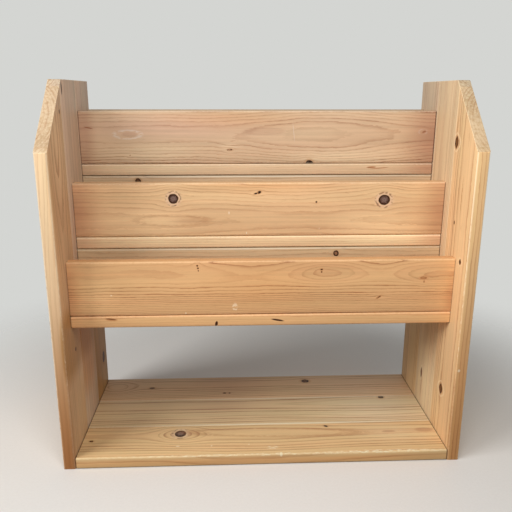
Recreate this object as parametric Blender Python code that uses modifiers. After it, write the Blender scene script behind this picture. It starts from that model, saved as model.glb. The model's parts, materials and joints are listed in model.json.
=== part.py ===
"""Picture book rack of planed softwood boards, in metres, facing -Y and standing on Z = 0.

Three ledges climb towards the back between two edge-glued sides, over a shelf that lies on the floor.
Every cross board is butted against the sides and held by countersunk screws driven in from outside.
"""

import math

import bmesh
import bpy
from mathutils import Vector

# Board stock
BOARD_THICKNESS = 0.019
BOARD_WIDTH = 0.089
ARRIS_RADIUS = 0.003
SAWN_EDGE_EASE = 0.0008
SEAM_EDGE_EASE = 0.0004
ARRIS_SEGMENTS = 4

# Sides
SIDE_HEIGHT = 0.594
SIDE_CORNER_CUT = 0.099
INNER_WIDTH = 0.596

# Ledges
LEDGE_SETBACK = 0.0415
LEDGE_HEIGHT = 0.222
RAIL_HEIGHT = 0.087

# Gaps between boards
BUTT_GAP = 0.0005
GLUE_GAP = 0.0003

# Countersunk screws
SCREW_LENGTH = 0.051
SCREW_SHANK_DIAMETER = 0.0038
SCREW_HEAD_DIAMETER = 0.008
SCREW_HEAD_RIM = 0.0004
SCREW_TIP_LENGTH = 0.006
SCREW_HEAD_RECESS = 0.0006
SCREW_CLEARANCE = 0.0003
UPRIGHT_SCREW_SPACING = 0.044
FLOOR_SCREW_SPACING = 0.030
SCREW_SIDES = 12

# Worked out from the sizes above
PANEL_ROWS = ("front", "middle", "rear")
TIERS = ("front", "middle", "rear")
ROW_PITCH = BOARD_WIDTH + GLUE_GAP
DEPTH = len(PANEL_ROWS) * ROW_PITCH - GLUE_GAP
FRONT = -DEPTH / 2
REAR = DEPTH / 2
CROSS_LENGTH = INNER_WIDTH - 2 * BUTT_GAP
SIDE_CENTRE = (INNER_WIDTH + BOARD_THICKNESS) / 2
OUTER_FACE = INNER_WIDTH / 2 + BOARD_THICKNESS
LEDGE_PITCH = BOARD_WIDTH - BOARD_THICKNESS
LEDGE_RISE = BOARD_WIDTH + BOARD_THICKNESS + 2 * BUTT_GAP
CUTTER_OVERSHOOT = SCREW_HEAD_DIAMETER
MERGE_DISTANCE = 0.00001
ON_PLANE = 0.00001

# Places of the screws in a board's end, as (depth, height) from its middle
UPRIGHT_SCREWS = ((0, -UPRIGHT_SCREW_SPACING / 2), (0, UPRIGHT_SCREW_SPACING / 2))
FLOOR_SCREWS = ((-FLOOR_SCREW_SPACING / 2, 0), (FLOOR_SCREW_SPACING / 2, 0))
SHELF_SCREWS = ((0, 0),)

# Axes that a board's grain runs along
ACROSS = "x"
UPRIGHT = "z"


def clear_scene():
    for old in list(bpy.data.objects):
        bpy.data.objects.remove(old, do_unlink=True)


def new_collection(name):
    made = bpy.data.collections.new(name)
    bpy.context.scene.collection.children.link(made)
    return made


def material(name, colour, roughness, metallic=0.0):
    made = bpy.data.materials.new(name)
    made.use_nodes = True
    shader = made.node_tree.nodes["Principled BSDF"]
    shader.inputs["Base Color"].default_value = (*colour, 1.0)
    shader.inputs["Roughness"].default_value = roughness
    shader.inputs["Metallic"].default_value = metallic
    made.diffuse_color = (*colour, 1.0)
    return made


def place(obj, home, finish):
    """Files an object in its collection, under the rack's empty, with its finish."""
    home.objects.link(obj)
    obj.data.materials.append(finish)
    obj.parent = rack


def edge_radius(edge, grain, front_radius, rear_radius, end_radius, half_depth):
    """How far one edge of a board is rounded: with the grain by its side, across it by the saw cut."""
    start = edge.verts[0].co
    end = edge.verts[1].co
    run = (end - start).normalized()
    if abs(getattr(run, grain)) > 1 - ON_PLANE:
        return front_radius if start.y < 0 else rear_radius
    at_front = start.y < ON_PLANE - half_depth and end.y < ON_PLANE - half_depth
    at_rear = start.y > half_depth - ON_PLANE and end.y > half_depth - ON_PLANE
    in_front_seam = at_front and front_radius != ARRIS_RADIUS
    in_rear_seam = at_rear and rear_radius != ARRIS_RADIUS
    return 0.0 if in_front_seam or in_rear_seam else end_radius


def saw_off(bm, point, normal):
    """Cuts away what lies beyond a plane and closes the cut."""
    geometry = bm.verts[:] + bm.edges[:] + bm.faces[:]
    cut = bmesh.ops.bisect_plane(
        bm, geom=geometry, plane_co=point, plane_no=normal, clear_outer=True
    )
    rim = [piece for piece in cut["geom_cut"] if isinstance(piece, bmesh.types.BMEdge)]
    if rim:
        bmesh.ops.contextual_create(bm, geom=rim)
    bmesh.ops.recalc_face_normals(bm, faces=bm.faces)


def board(name, size, centre, grain, radii, finish, sawn=None):
    """A board about its own middle: sawn to shape, rounded along its edges, then drilled for the screws."""
    front_radius, rear_radius, end_radius = radii
    bm = bmesh.new()
    bmesh.ops.create_cube(bm, size=1.0)
    bmesh.ops.scale(bm, vec=size, verts=bm.verts)
    if sawn:
        point, normal = sawn
        saw_off(bm, point - centre, normal)
    weight = bm.edges.layers.float.new("bevel_weight_edge")
    for edge in bm.edges:
        radius = edge_radius(edge, grain, front_radius, rear_radius, end_radius, size.y / 2)
        edge[weight] = radius / ARRIS_RADIUS
    mesh = bpy.data.meshes.new(name)
    bm.to_mesh(mesh)
    bm.free()
    made = bpy.data.objects.new(name, mesh)
    place(made, parts, finish)
    made.location = centre
    rounding = made.modifiers.new("rounded edges", "BEVEL")
    rounding.limit_method = "WEIGHT"
    rounding.width = ARRIS_RADIUS
    rounding.segments = ARRIS_SEGMENTS
    drilling = made.modifiers.new("screw holes", "BOOLEAN")
    drilling.operation = "DIFFERENCE"
    drilling.solver = "EXACT"
    drilling.operand_type = "COLLECTION"
    drilling.collection = cutters
    return made


def screw_outline(clearance, top):
    """Half outline of a countersunk screw, from the top of its axis to its tip, grown by a clearance."""
    head = SCREW_HEAD_DIAMETER / 2 + clearance
    shank = SCREW_SHANK_DIAMETER / 2 + clearance
    rim = -SCREW_HEAD_RIM - clearance
    neck = rim - (head - shank)
    tip = -SCREW_LENGTH - clearance
    return [(0, top), (head, top), (head, rim), (shank, neck), (shank, tip + SCREW_TIP_LENGTH), (0, tip)]


def turned(name, outline, home, finish):
    """A half outline spun round Z."""
    bm = bmesh.new()
    corners = [bm.verts.new((radius, 0, height)) for radius, height in outline]
    for upper, lower in zip(corners, corners[1:]):
        bm.edges.new((upper, lower))
    mesh = bpy.data.meshes.new(name)
    bm.to_mesh(mesh)
    bm.free()
    made = bpy.data.objects.new(name, mesh)
    place(made, home, finish)
    spin = made.modifiers.new("turned", "SCREW")
    spin.axis = "Z"
    spin.steps = SCREW_SIDES
    spin.render_steps = SCREW_SIDES
    spin.use_merge_vertices = True
    spin.merge_threshold = MERGE_DISTANCE
    return made


def screw_through_side(name, side, depth, height):
    """One screw through a side into a board's end, and the cutter for its hole."""
    screw = turned(name, screw_outline(0.0, 0.0), parts, screw_steel)
    mouth = SCREW_HEAD_RECESS + CUTTER_OVERSHOOT
    hole = turned(name + "_hole", screw_outline(SCREW_CLEARANCE, mouth), cutters, screw_steel)
    hole.hide_render = True
    hole.display_type = "WIRE"
    for obj in (screw, hole):
        obj.location = (side * (OUTER_FACE - SCREW_HEAD_RECESS), depth, height)
        obj.rotation_euler = (0, side * math.pi / 2, 0)


def cross_board(name, front, underside, depth, height, screws, finish, radii):
    """A board from side to side, with its screws at both ends."""
    middle = Vector((0, front + depth / 2, underside + height / 2))
    size = Vector((CROSS_LENGTH, depth, height))
    board(name, size, middle, ACROSS, radii, finish)
    for side_name, side in (("left", -1), ("right", 1)):
        for count, (along, up) in enumerate(screws, start=1):
            screw_name = f"{name}_{side_name}_screw_{count}"
            screw_through_side(screw_name, side, middle.y + along, middle.z + up)


def panel_radii(row, end_radius):
    """Rounding of a glued panel's board: full at the panel's free edges, slight at its seams."""
    front_radius = ARRIS_RADIUS if row == PANEL_ROWS[0] else SEAM_EDGE_EASE
    rear_radius = ARRIS_RADIUS if row == PANEL_ROWS[-1] else SEAM_EDGE_EASE
    return front_radius, rear_radius, end_radius


def side_panel(side_name, side):
    """Three upright boards glued edge to edge, with the top front corner sawn off at 45 degrees."""
    corner = Vector((0, FRONT, SIDE_HEIGHT - SIDE_CORNER_CUT))
    sawn = (corner, Vector((0, -1, 1)).normalized())
    size = Vector((BOARD_THICKNESS, BOARD_WIDTH, SIDE_HEIGHT))
    for index, row in enumerate(PANEL_ROWS):
        middle = FRONT + index * ROW_PITCH + BOARD_WIDTH / 2
        centre = Vector((side * SIDE_CENTRE, middle, SIDE_HEIGHT / 2))
        name = f"{side_name}_side_{row}_board"
        radii = panel_radii(row, SAWN_EDGE_EASE)
        board(name, size, centre, UPRIGHT, radii, side_wood, sawn)


def low_shelf():
    """Three boards glued edge to edge, lying on the floor between the sides."""
    for index, row in enumerate(PANEL_ROWS):
        front = FRONT + index * ROW_PITCH
        name = f"shelf_{row}_board"
        radii = panel_radii(row, 0.0)
        cross_board(name, front, 0, BOARD_WIDTH, BOARD_THICKNESS, SHELF_SCREWS, shelf_wood, radii)


def upright(name, front, underside, height, finish):
    cross_board(name, front, underside, BOARD_THICKNESS, height, UPRIGHT_SCREWS, finish, LOOSE_RADII)


def ledges():
    """Each tier has a floor and a rail on its front edge; a riser on the floor in front carries the next."""
    for index, tier in enumerate(TIERS):
        front = FRONT + LEDGE_SETBACK + index * LEDGE_PITCH
        underside = LEDGE_HEIGHT + index * LEDGE_RISE
        topside = underside + BOARD_THICKNESS + BUTT_GAP
        last = tier == TIERS[-1]
        depth = REAR - front if last else BOARD_WIDTH
        floor = f"{tier}_tier_floor"
        cross_board(floor, front, underside, depth, BOARD_THICKNESS, FLOOR_SCREWS, floor_wood, LOOSE_RADII)
        upright(f"{tier}_tier_rail", front, topside, RAIL_HEIGHT, rail_wood)
        if last:
            upright("back_rail", REAR - BOARD_THICKNESS, topside, RAIL_HEIGHT, rail_wood)
        else:
            upright(f"{TIERS[index + 1]}_tier_riser", front + LEDGE_PITCH, topside, BOARD_WIDTH, riser_wood)


LOOSE_RADII = (ARRIS_RADIUS, ARRIS_RADIUS, 0.0)

clear_scene()
parts = new_collection("picture_book_rack")
cutters = new_collection("screw_hole_cutters")
rack = bpy.data.objects.new("rack_origin", None)
parts.objects.link(rack)

side_wood = material("side_wood", (0.68, 0.43, 0.21), 0.55)
shelf_wood = material("shelf_wood", (0.62, 0.42, 0.21), 0.55)
floor_wood = material("floor_wood", (0.66, 0.42, 0.20), 0.55)
rail_wood = material("rail_wood", (0.67, 0.40, 0.19), 0.5)
riser_wood = material("riser_wood", (0.64, 0.41, 0.21), 0.55)
screw_steel = material("screw_steel", (0.55, 0.53, 0.48), 0.35, 1.0)

side_panel("left", -1)
side_panel("right", 1)
low_shelf()
ledges()
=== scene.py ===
# %% [markdown]
# # A picture book rack in planed softwood
# The rack is eighteen boards and forty-two screws. The imported model already has their shapes, so this
# script is about what the eye sees: year rings that follow how each board was cut from its log, knots
# where the real rack has them, pale worn arrises with painted highlights, painted light and shade on the
# boards, the plated screws, and a soft studio around it all.

# %% Load the imported rack
import json
import math
from dataclasses import dataclass

import bmesh
import bpy
from mathutils import Matrix, Vector

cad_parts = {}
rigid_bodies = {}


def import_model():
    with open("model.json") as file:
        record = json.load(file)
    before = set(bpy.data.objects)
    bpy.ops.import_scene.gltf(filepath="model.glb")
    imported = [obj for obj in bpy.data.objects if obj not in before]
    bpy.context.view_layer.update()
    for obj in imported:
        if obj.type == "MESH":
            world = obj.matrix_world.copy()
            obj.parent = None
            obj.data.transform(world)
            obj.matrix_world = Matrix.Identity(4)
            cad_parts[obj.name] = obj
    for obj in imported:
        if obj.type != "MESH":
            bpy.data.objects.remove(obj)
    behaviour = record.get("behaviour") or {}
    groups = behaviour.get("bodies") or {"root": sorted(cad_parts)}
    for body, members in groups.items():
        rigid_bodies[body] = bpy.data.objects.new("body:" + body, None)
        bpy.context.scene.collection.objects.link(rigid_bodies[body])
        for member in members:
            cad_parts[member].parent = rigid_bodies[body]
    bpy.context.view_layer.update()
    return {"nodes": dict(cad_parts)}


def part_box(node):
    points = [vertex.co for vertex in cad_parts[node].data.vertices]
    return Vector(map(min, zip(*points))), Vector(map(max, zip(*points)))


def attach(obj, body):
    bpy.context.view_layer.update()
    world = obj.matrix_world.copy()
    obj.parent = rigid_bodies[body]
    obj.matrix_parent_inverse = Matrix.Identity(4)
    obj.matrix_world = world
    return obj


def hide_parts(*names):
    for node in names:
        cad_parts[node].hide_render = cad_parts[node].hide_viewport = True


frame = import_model()
scene = bpy.context.scene

# %% [markdown]
# ## Where the photograph was taken from
# A camera can be aimed by eye, but matching a photograph that way takes many tries. Here the corners of
# the boards were matched to the photograph once, and that gave the place, the three turns and the lens.
# The turns become three axes: right, up, and backwards, which is where a Blender camera's Z axis points.

# %% Camera axes
CAMERA_YAW = 0.0431
CAMERA_TILT = 0.27048
CAMERA_ROLL = 0.0015


def camera_axes(yaw, tilt, roll):
    """The right, up and backward directions of a camera that looks along +Y when all turns are nought."""
    forward = Vector((math.sin(yaw) * math.cos(tilt), math.cos(yaw) * math.cos(tilt), -math.sin(tilt)))
    level = Vector((math.cos(yaw), -math.sin(yaw), 0.0))
    upright = level.cross(forward)
    right = level * math.cos(roll) + upright * math.sin(roll)
    up = upright * math.cos(roll) - level * math.sin(roll)
    return right, up, -forward


photo_axes = camera_axes(CAMERA_YAW, CAMERA_TILT, CAMERA_ROLL)
print("camera looks along", tuple(round(value, 3) for value in -photo_axes[2]))

# %% [markdown]
# A matrix takes the three axes as its columns, so the rows are written first and then transposed. That
# sets the turn in one step, with no Euler angles whose order has to be right.

# %% Camera
CAMERA_PLACE = Vector((-0.04809, -0.94941, 0.57388))
SENSOR_WIDTH = 36.0
FOCAL_LENGTH = 41.203


def added(name, data):
    """A new object in the scene."""
    thing = bpy.data.objects.new(name, data)
    scene.collection.objects.link(thing)
    return thing


lens = bpy.data.cameras.new("photograph camera")
lens.sensor_width = SENSOR_WIDTH
lens.lens = FOCAL_LENGTH
camera = added("photograph camera", lens)
camera.matrix_world = Matrix.Translation(CAMERA_PLACE) @ Matrix(photo_axes).transposed().to_4x4()
scene.camera = camera
print("camera at", tuple(CAMERA_PLACE), "with a", FOCAL_LENGTH, "mm lens")

# %% [markdown]
# ## A finish is a set of sums
# A procedural material is a net of nodes, and a net of two hundred nodes is hard to read as a list of
# links. So a small class stands for one value on its way through the net. Adding or multiplying two of
# them makes the Math node that does it, and a finish can be written as plain formulas.


# %% Wires
class Wire:
    """One number, place or colour in a material's node tree."""

    def __init__(self, socket):
        self.socket = socket
        self.tree = socket.id_data

    def __add__(self, other):
        return reckon("ADD", self, other)

    def __sub__(self, other):
        return reckon("SUBTRACT", self, other)

    def __rsub__(self, other):
        return reckon("SUBTRACT", other, self)

    def __mul__(self, other):
        return reckon("MULTIPLY", self, other)

    def __truediv__(self, other):
        return reckon("DIVIDE", self, other)

    __radd__ = __add__
    __rmul__ = __mul__


def feed(socket, value):
    """Links a wire into a socket, or writes a plain value there."""
    if isinstance(value, Wire):
        value.tree.links.new(value.socket, socket)
    else:
        socket.default_value = value


def tree_of(*values):
    """The node tree that the wires among these values belong to."""
    return next(value.tree for value in values if isinstance(value, Wire))


def reckon(operation, *values):
    """A Math node with these values."""
    node = tree_of(*values).nodes.new("ShaderNodeMath")
    node.operation = operation
    for socket, value in zip(node.inputs, values):
        feed(socket, value)
    return Wire(node.outputs[0])


print("wires can be added, taken away, multiplied and divided")

# %% [markdown]
# Four kinds of node do most of the work in wood: a smooth step from one value to another, a place put
# together from three numbers, soft noise, and a random number for each year that stays the same every time.

# %% Steps, places and chance
NOISE_MIDDLE = 0.5


def ease(value, start, end):
    """Nought before start, one after end, and a smooth slope between."""
    node = value.tree.nodes.new("ShaderNodeMapRange")
    node.interpolation_type = "SMOOTHSTEP"
    feed(node.inputs["Value"], value)
    feed(node.inputs["From Min"], start)
    feed(node.inputs["From Max"], end)
    return Wire(node.outputs["Result"])


def place(along, across, deep):
    """Three numbers as one place."""
    node = tree_of(along, across, deep).nodes.new("ShaderNodeCombineXYZ")
    for socket, value in zip(node.inputs, (along, across, deep)):
        feed(socket, value)
    return Wire(node.outputs[0])


def cloud(where, detail=2.0, roughness=0.5):
    """Soft noise around nought, about one unit from hill to hill."""
    node = where.tree.nodes.new("ShaderNodeTexNoise")
    feed(node.inputs["Vector"], where)
    node.inputs["Scale"].default_value = 1.0
    node.inputs["Detail"].default_value = detail
    node.inputs["Roughness"].default_value = roughness
    return Wire(node.outputs["Fac"]) - NOISE_MIDDLE


def dice(value):
    """A steady random number from nought to one for each whole number."""
    node = value.tree.nodes.new("ShaderNodeTexWhiteNoise")
    node.noise_dimensions = "1D"
    feed(node.inputs["W"], value)
    return Wire(node.outputs["Value"])


print("smooth steps, places, noise and dice are ready")

# %% [markdown]
# Colours are written as a picture gives them, from 0 to 255. A shader reckons in linear light, where a
# middle grey is far darker than half, so each colour is turned before it goes in.


# %% Colours
def tint(amount, first, second, way="MIX"):
    """Two colours mixed by an amount."""
    node = tree_of(amount, first, second).nodes.new("ShaderNodeMix")
    node.data_type = "RGBA"
    node.blend_type = way
    sockets = {socket.identifier: socket for socket in (*node.inputs, *node.outputs)}
    feed(sockets["Factor_Float"], amount)
    feed(sockets["A_Color"], first)
    feed(sockets["B_Color"], second)
    return Wire(sockets["Result_Color"])


def stained(colour, share):
    """A colour that lets only a share of each light through, as a thin stain does."""
    return tint(1.0, colour, share, "MULTIPLY")


def srgb(red, green, blue):
    """A colour from 0 to 255 as linear light."""
    shares = [value / 255 for value in (red, green, blue)]
    linear = [share / 12.92 if share <= 0.04045 else ((share + 0.055) / 1.055) ** 2.4 for share in shares]
    return (*linear, 1.0)


print("a grey of 128 is", round(srgb(128, 128, 128)[0], 3), "in linear light")

# %% [markdown]
# ## How a board was cut
# Year rings are tubes round the heart of the log. A board is a slice of those tubes, and the lines on its
# face are only where the slice meets them: straight where it meets them steeply, arched where it grazes
# them. A flat picture of lines would break at the arrises and on the sawn ends. So the rings are worked
# out in the solid board, from its distance to the heart, and every face shows its own cut of them.


# %% What tells one board from another
@dataclass(frozen=True)
class Swell:
    """A place where the rings bulge, in mm from the board's middle: the plane cuts it into an oval."""

    along: float
    across: float
    reach: tuple
    lift: float


@dataclass(frozen=True)
class Knot:
    """A branch that the board was cut through, in mm from the board's middle."""

    along: float
    across: float
    radius: float
    stretch: float = 1.0
    turn: float = 0.0
    kind: str = "dead"
    push: float = 0.7
    pointed: bool = False


@dataclass(frozen=True)
class Mark:
    """A mark or a patch of painted light or shade: its middle and its half sizes along, across and through the
    board.
    """

    middle: tuple
    reach: tuple
    colour: str
    strength: float = 1.0
    broken: float = 0.0
    hollow: bool = False
    turn: float = 0.0
    full: float = 0.55
    edge: bool = False


@dataclass(frozen=True)
class Cut:
    """The slice of the log that a board is: heart and rings in mm, what grew or happened there, and painted
    light and shade.
    """

    heart: tuple
    ring: float
    sway: float = 7.0
    contrast: float = 0.55
    ragged: float = 1.0
    joints: tuple = (0.75, 0.75)
    arrises: tuple = (True, True)
    swells: tuple = ()
    knots: tuple = ()
    marks: tuple = ()
    tone: tuple = (1.0, 1.0, 1.0)
    seed: float = 0.0


print("a cut is told by", ", ".join(Cut.__dataclass_fields__))

# %% [markdown]
# ## Places on a board
# Object coordinates of a packed board are places on the whole rack in metres. A Mapping node moves nought
# to the board's middle and turns metres to millimetres. Then the three axes are sorted by the grain, so
# that along, across and deep mean the same on a board that lies, stands on its edge, or stands on its end.

# %% Places on a board
MM_PER_M = 1000.0
FLAT = "xyz"
STANDING = "xzy"
UPRIGHT = "zyx"


@dataclass(frozen=True)
class Spot:
    """Any place on a board, in mm from its middle, the board's half sizes, and which way it faces there."""

    along: Wire
    across: Wire
    deep: Wire
    half: tuple
    facing: tuple


def board_spot(tree, node, order):
    """Sorts a board's Object coordinates by its grain."""
    low, high = (Vector(corner) * MM_PER_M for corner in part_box(node))
    half = dict(zip("xyz", (high - low) / 2))
    texture = tree.nodes.new("ShaderNodeTexCoord")
    mapping = tree.nodes.new("ShaderNodeMapping")
    mapping.inputs["Location"].default_value = -(low + high) / 2
    mapping.inputs["Scale"].default_value = (MM_PER_M,) * 3
    tree.links.new(texture.outputs["Object"], mapping.inputs["Vector"])
    split = tree.nodes.new("ShaderNodeSeparateXYZ")
    tree.links.new(mapping.outputs["Vector"], split.inputs["Vector"])
    normal = tree.nodes.new("ShaderNodeSeparateXYZ")
    tree.links.new(texture.outputs["Normal"], normal.inputs["Vector"])
    places = dict(zip("xyz", (Wire(socket) for socket in split.outputs)))
    facing = dict(zip("xyz", (Wire(socket) for socket in normal.outputs)))
    return Spot(
        *(places[axis] for axis in order),
        half=tuple(half[axis] for axis in order),
        facing=tuple(facing[axis] for axis in order),
    )


print("grain, width and thickness run along", FLAT, "or", STANDING, "or", UPRIGHT)

# %% [markdown]
# Most shapes on a board are ovals: the bulge of a ring, a knot, a stain. One sum tells how far a place is
# from the middle of such an oval, in units of its reach, and a bell turns that into a soft hill.


# %% Ovals and patches
def squared(value):
    """A value times itself."""
    return value * value


def bell(amount):
    """One at nought, falling smoothly to nothing a couple of units away, for a distance already squared."""
    return reckon("EXPONENT", amount * -1.0)


def turned(along, across, turn):
    """The same place on axes turned within the face."""
    if not turn:
        return along, across
    return (
        along * math.cos(turn) + across * math.sin(turn),
        across * math.cos(turn) - along * math.sin(turn),
    )


def reach_squared(along, across, middle, reach, turn=0.0):
    """Distance from a middle in units of reach, squared."""
    u, v = turned(along - middle[0], across - middle[1], turn)
    return squared(u / reach[0]) + squared(v / reach[1])


def patches(spot, size, seed, detail=1.0, roughness=0.5):
    """Noise in patches drawn out along the grain, given by their length and width in mm."""
    length, width = size
    return cloud(place(spot.along / length + seed, spot.across / width, spot.deep / width), detail, roughness)


print("ovals and patches are measured in mm")

# %% [markdown]
# ## Year rings
# A trunk is never quite straight, so the rings sway over the length and ripple over the width. The grain
# flows round each knot as water round a stone. All that bends the place before its distance to the heart
# is taken. The saw tears the lines a little, and no two years are as wide, so both roughen the count.

# %% Year rings
SWAY_PATCH = (190, 60)
RIPPLE_PATCH = (36, 9)
FRAY_PATCH = (58, 15)
FEATHER_PATCH = (10, 1.4)
RIPPLE, FRAY, FEATHER, UNEVEN = 1.2, 2.4, 1.1, 1.6
UNEVEN_OVER = 11
FLOW_REACH = (2.6, 2.0)
FLOW_MARGIN = (3.0, 2.0)
STEEP_LIFT = 25


def flowing(spot, cut):
    """The place across the board, bent by the tree's sway and round its knots."""
    bent = spot.across + patches(spot, SWAY_PATCH, cut.seed) * cut.sway
    bent = bent + patches(spot, RIPPLE_PATCH, cut.seed) * RIPPLE
    for knot in cut.knots:
        reach = (
            knot.radius * knot.stretch * FLOW_REACH[0] + FLOW_MARGIN[0],
            knot.radius * FLOW_REACH[1] + FLOW_MARGIN[1],
        )
        near = bell(reach_squared(spot.along, spot.across, (knot.along, knot.across), reach))
        bent = bent - (spot.across - knot.across) * near * knot.push
    return bent


def year_rings(spot, cut):
    """Years from the heart, and how steeply the face cuts them there."""
    aside = flowing(spot, cut) - cut.heart[0]
    radius = reckon("SQRT", squared(aside) + squared(spot.deep - cut.heart[1]))
    steep = reckon("ABSOLUTE", aside) / radius
    for swell in cut.swells:
        near = bell(reach_squared(spot.along, spot.across, (swell.along, swell.across), swell.reach))
        radius = radius + near * swell.lift
        steep = steep + near * abs(swell.lift / STEEP_LIFT)
    torn = patches(spot, FRAY_PATCH, cut.seed, detail=2.0) * FRAY
    torn = torn + patches(spot, FEATHER_PATCH, cut.seed, detail=2.0) * FEATHER
    uneven = cloud(place(radius / UNEVEN_OVER + cut.seed, 0.0, 0.0), detail=1.0)
    return (radius + torn * cut.ragged) / cut.ring + uneven * UNEVEN, steep


print("rings sway over", SWAY_PATCH[0], "mm and ripple over", RIPPLE_PATCH[0], "mm")

# %% [markdown]
# ## From rings to wood
# Each year starts with pale, soft wood and ends with a thin, darker and harder line. The years differ: some
# lines are strong, some hardly show, and the bands between them lean to pink or to straw. Poor and good
# years come in spells, so the strength follows a slow noise over the years as well as the dice.

# %% Bands of a year
LATE_WOOD = (0.42, 0.94)
LINE_END = (1.0, 0.96)
LATE_HAZE = 0.14
YEARS_IN_SPELL = 4.5
LINE_DICE, LINE_LEAST, LINE_SPREAD, LINE_SPELL = 0.5, 0.3, 0.65, 1.3
ROSY_DICE, ROSY_LEAST, ROSY_SPREAD, ROSY_SPELL = 71.5, 0.2, 0.6, 0.5


def banded(years, cut):
    """How dark the late wood of a year is, how rosy that year's band, and how good the spell."""
    year = reckon("FLOOR", years)
    share = reckon("FRACT", years)
    spell = cloud(place(years / YEARS_IN_SPELL + cut.seed, 0.0, 0.0), detail=1.0)
    late = squared(ease(share, *LATE_WOOD) * ease(share, *LINE_END))
    strength = dice(year + LINE_DICE + cut.seed) * LINE_SPREAD + LINE_LEAST + spell * LINE_SPELL
    rosy = dice(year + ROSY_DICE + cut.seed) * ROSY_SPREAD + ROSY_LEAST + spell * ROSY_SPELL
    return (late + share * LATE_HAZE) * strength, rosy, spell


print("late wood takes the last", round(1 - LATE_WOOD[0], 2), "of a year")

# %% [markdown]
# Over the rings go long fibres, short resin ducts, and a slow change of colour over the whole board. A line
# fades where the face only grazes its ring, and along its own length too, which keeps it from looking drawn.

# %% The wood as it grew
PALE = srgb(232, 194, 149)
LINE = srgb(157, 92, 53)
DUCT = srgb(176, 120, 74)
STRAW = (0.985, 1.0, 0.965, 1.0)
ROSE = (1.0, 0.945, 0.925, 1.0)
FADE_PATCH = (80, 11)
FIBRE_PATCH = (16, 0.55)
DUCT_PATCH = (7, 0.42)
DRIFT_PATCH = (230, 42)
STREAK_PATCH = (170, 4.5)
GRAZED = (0.05, 0.6)
GRAZED_LEAST, GRAZED_GAIN = 0.56, 0.8
EDGE_FAINTER = 0.35
FADE_SHARE = 1.6
DRIFT_ROSY = 1.2
FIBRE_SHADE, STREAK_SHADE, DRIFT_SHADE, SPELL_SHADE = 0.16, 0.3, 0.22, 0.25
DUCT_SHOWS = (0.27, 0.36)
DUCT_COVER = 0.35


def grown_wood(spot, cut, edge):
    """The colour of the wood as it grew, then its late wood, its fibres and its slow drift of colour."""
    years, steep = year_rings(spot, cut)
    late, rosy, spell = banded(years, cut)
    fade = patches(spot, FADE_PATCH, cut.seed)
    late = late * (ease(steep, *GRAZED) * GRAZED_GAIN + GRAZED_LEAST)
    late = late * (1.0 - edge * EDGE_FAINTER) * (1.0 + fade * FADE_SHARE)
    fibre = patches(spot, FIBRE_PATCH, cut.seed, detail=3.0, roughness=0.6)
    drift = patches(spot, DRIFT_PATCH, cut.seed, detail=2.0)
    streak = patches(spot, STREAK_PATCH, cut.seed, detail=2.0)
    duct = patches(spot, DUCT_PATCH, cut.seed, detail=0.0)
    colour = tint(late * cut.contrast, PALE, LINE)
    colour = stained(colour, tint(rosy + drift * DRIFT_ROSY, STRAW, ROSE))
    shade = 1.0 + fibre * FIBRE_SHADE + streak * STREAK_SHADE + drift * DRIFT_SHADE - spell * SPELL_SHADE
    colour = stained(colour, place(shade, shade, shade))
    return tint(ease(duct, *DUCT_SHOWS) * DUCT_COVER, colour, DUCT), late, fibre, drift


print("pale wood is", tuple(round(value, 2) for value in PALE[:3]))

# %% [markdown]
# ## Knots
# A knot is a branch that the saw went through. A branch that died before the tree grew round it is dark,
# ringed with bark, and stands in pale wood. A small one is only a brown dot, and one that was cut along
# its length is a pointed spindle. Each is painted from the wood inwards: halo, bark, rim and core.

# %% Knots
KNOT_COLOURS = {
    "dead": {"rim": srgb(62, 34, 19), "core": srgb(128, 103, 93), "halo": srgb(236, 200, 168)},
    "brown": {"rim": srgb(58, 32, 16), "core": srgb(112, 74, 46), "halo": srgb(204, 150, 100)},
    "ruddy": {"rim": srgb(64, 34, 14), "core": srgb(120, 76, 40), "halo": srgb(204, 150, 100)},
    "ring": {"rim": srgb(44, 20, 10), "core": srgb(158, 112, 80), "halo": srgb(220, 172, 126)},
    "live": {"rim": srgb(174, 124, 86), "core": srgb(194, 146, 104), "halo": srgb(212, 162, 116)},
    "black": {"rim": srgb(32, 13, 5), "core": srgb(46, 22, 9), "halo": srgb(200, 146, 98)},
}
BARK = srgb(128, 84, 52)
RUSSET = srgb(172, 108, 64)
# Pale wood of worn arrises and of pale knot outlines; on the arrises it also paints their highlights.
PALE_WEAR_AND_HIGHLIGHT = srgb(252, 226, 188)
DEAD_WANDER, KNOT_WANDER = 0.15, 0.4
CORE = (0.3, 0.85)
CORE_GRIT = 0.7
ROUND_BORDER = (1.07, 0.93)
SPINDLE_BORDER = (1.25, 0.85)
SPINDLE_STAIN = (1.8, 1.0)
SPINDLE_STAIN_COVER = 0.5
SPINDLE_OUT, SPINDLE_WIDTH, SPINDLE_COVER = 2.3, 0.3, 0.55
HALO_OUT, HALO_WIDTH, HALO_COVER = 1.2, 0.4, 0.6
BARK_OUT, BARK_WIDTH, BARK_COVER = 1.5, 0.16, 0.75
BARK_PATCH = 6.5
BARK_WANDER, BARK_MOTTLE = 0.7, 0.5
BARK_SHOWS = (-0.08, 0.12)
GROWTH_LINES, GROWTH_WANDER, GROWTH_COVER = 17.0, 5.0, 0.35
GROWTH_SHOWS = (0.1, 1.0)


def from_knot(spot, knot):
    """How far a place is from a knot's middle, in units of the knot's own radius."""
    u, v = turned(spot.along - knot.along, spot.across - knot.across, knot.turn)
    u = u / (knot.radius * knot.stretch)
    v = v / knot.radius
    if knot.pointed:
        return reckon("ABSOLUTE", v) + squared(u)
    return reckon("SQRT", squared(u) + squared(v))


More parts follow.
